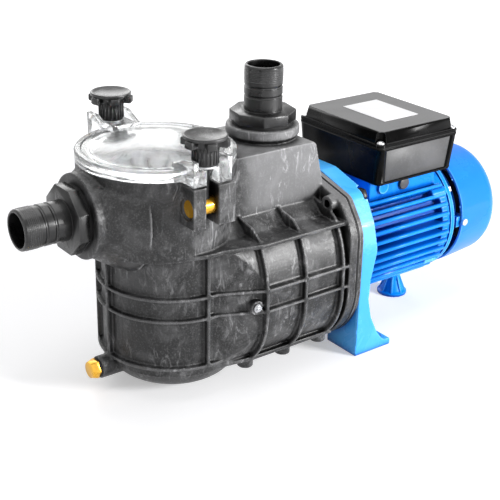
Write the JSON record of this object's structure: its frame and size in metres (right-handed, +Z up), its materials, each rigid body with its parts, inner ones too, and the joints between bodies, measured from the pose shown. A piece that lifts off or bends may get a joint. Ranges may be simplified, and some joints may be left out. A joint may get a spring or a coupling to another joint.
{
  "type": "pool pump",
  "caption": "Self-priming pool pump: black ribbed casing with a clear strainer lid, hose tails, blue finned motor, terminal box and foot bracket.",
  "frame": {"origin": "on the floor, in the middle of the line through the two foot slots", "axes": "+X along the shaft towards the fan cover, +Z up"},
  "size_m": [0.5635, 0.2024, 0.2981],
  "materials": {
    "casing_plastic": "glass-filled, slightly chalky",
    "tail_plastic": "satin",
    "knob_plastic": "satin",
    "clear_plastic": "clear, polished",
    "basket_plastic": "satin",
    "inner_plastic": "satin",
    "brass": "polished",
    "steel": "machined",
    "zinc_screw": "zinc plated",
    "lamination": "stacked sheet",
    "winding": "varnished copper",
    "rubber": "matt",
    "seal_face": "lapped ceramic and carbon",
    "blue_casting": "painted, gloss",
    "blue_cover": "painted, gloss",
    "box_plastic": "glossy",
    "label": "satin",
    "capacitor_can": "satin",
    "terminal_plastic": "satin",
    "gland_plastic": "satin",
    "fan_plastic": "satin"
  },
  "bodies": {
    "pump": {"pump_body": "casing_plastic", "strainer_pot": "casing_plastic", "suction_hose_tail": "tail_plastic", "suction_gasket": "rubber", "discharge_hose_tail": "tail_plastic", "discharge_gasket": "rubber", "left_barrel_nut": "brass", "right_barrel_nut": "brass", "lid_o_ring": "rubber", "side_screw": "zinc_screw", "body_gasket": "rubber", "seal_plate": "casing_plastic", "seal_seat": "seal_face", "diffuser": "inner_plastic", "front_bearing_outer_ring": "steel", "rear_bearing_outer_ring": "steel", "wave_washer": "steel", "motor_bracket": "blue_casting", "flange_bolts": "zinc_screw", "motor_housing": "blue_casting", "blanking_plug": "blue_casting", "cable_gland": "gland_plastic", "stator_core": "lamination", "stator_winding": "winding", "rear_endshield": "blue_casting", "end_screws": "zinc_screw", "fan_cover": "blue_cover", "fan_cover_screws": "zinc_screw", "support_foot": "blue_casting", "terminal_box_base": "box_plastic", "terminal_box_gasket": "rubber", "terminal_box_lid": "box_plastic", "terminal_lid_screws": "zinc_screw", "rating_label": "label", "capacitor": "capacitor_can", "terminal_block": "terminal_plastic"},
    "rotor": {"motor_shaft": "steel", "slinger": "rubber", "rotor_core": "lamination", "impeller": "inner_plastic", "impeller_nut": "brass", "seal_head": "seal_face", "seal_bellows": "rubber", "cooling_fan": "fan_plastic", "front_bearing_inner_ring": "steel", "front_bearing_balls": "steel", "rear_bearing_inner_ring": "steel", "rear_bearing_balls": "steel"},
    "lid": {"strainer_lid": "clear_plastic"},
    "basket": {"strainer_basket": "basket_plastic", "basket_handle": "basket_plastic"},
    "left_washer": {"left_knob_washer": "zinc_screw"},
    "left_knob": {"left_knob": "knob_plastic", "left_knob_stud": "steel"},
    "right_washer": {"right_knob_washer": "zinc_screw"},
    "right_knob": {"right_knob": "knob_plastic", "right_knob_stud": "steel"},
    "drain_seal": {"drain_seal": "rubber"},
    "drain_plug": {"drain_plug": "brass"}
  },
  "joints": [
    {"name": "rotor_spin", "type": "hinge", "parent": "pump", "child": "rotor", "pos_m": [0, 0, 0.102], "axis": [1, 0, 0], "continuous": true},
    {"name": "lid_lift", "type": "slide", "parent": "pump", "child": "lid", "axis": [0, 0, 1], "range_m": [0, 0.22]},
    {"name": "basket_lift", "type": "slide", "parent": "pump", "child": "basket", "axis": [0, 0, 1], "range_m": [0, 0.143]},
    {"name": "left_washer_rise", "type": "slide", "parent": "lid", "child": "left_washer", "axis": [0, 0, 1], "range_m": [0, 0.009]},
    {"name": "left_knob_turn", "type": "hinge", "parent": "left_washer", "child": "left_knob", "pos_m": [-0.217, -0.08, 0.242], "axis": [0, 0, 1], "range_deg": [0, 2160]},
    {"name": "right_washer_rise", "type": "slide", "parent": "lid", "child": "right_washer", "axis": [0, 0, 1], "range_m": [0, 0.009]},
    {"name": "right_knob_turn", "type": "hinge", "parent": "right_washer", "child": "right_knob", "pos_m": [-0.217, 0.08, 0.242], "axis": [0, 0, 1], "range_deg": [0, 2160]},
    {"name": "drain_seal_slide", "type": "slide", "parent": "pump", "child": "drain_seal", "axis": [-1, 0, 0], "range_m": [0, 0.009]},
    {"name": "drain_plug_turn", "type": "hinge", "parent": "drain_seal", "child": "drain_plug", "pos_m": [-0.286, 0, 0.026], "axis": [-1, 0, 0], "range_deg": [0, 2160]}
  ],
  "couplings": [
    {"joint": "basket_lift", "follows": "lid_lift", "ratio": 0.65},
    {"joint": "left_washer_rise", "follows": "left_knob_turn", "m_per_rad": 0.00023873},
    {"joint": "right_washer_rise", "follows": "right_knob_turn", "m_per_rad": 0.00023873},
    {"joint": "drain_seal_slide", "follows": "drain_plug_turn", "m_per_rad": 0.00023873}
  ]
}
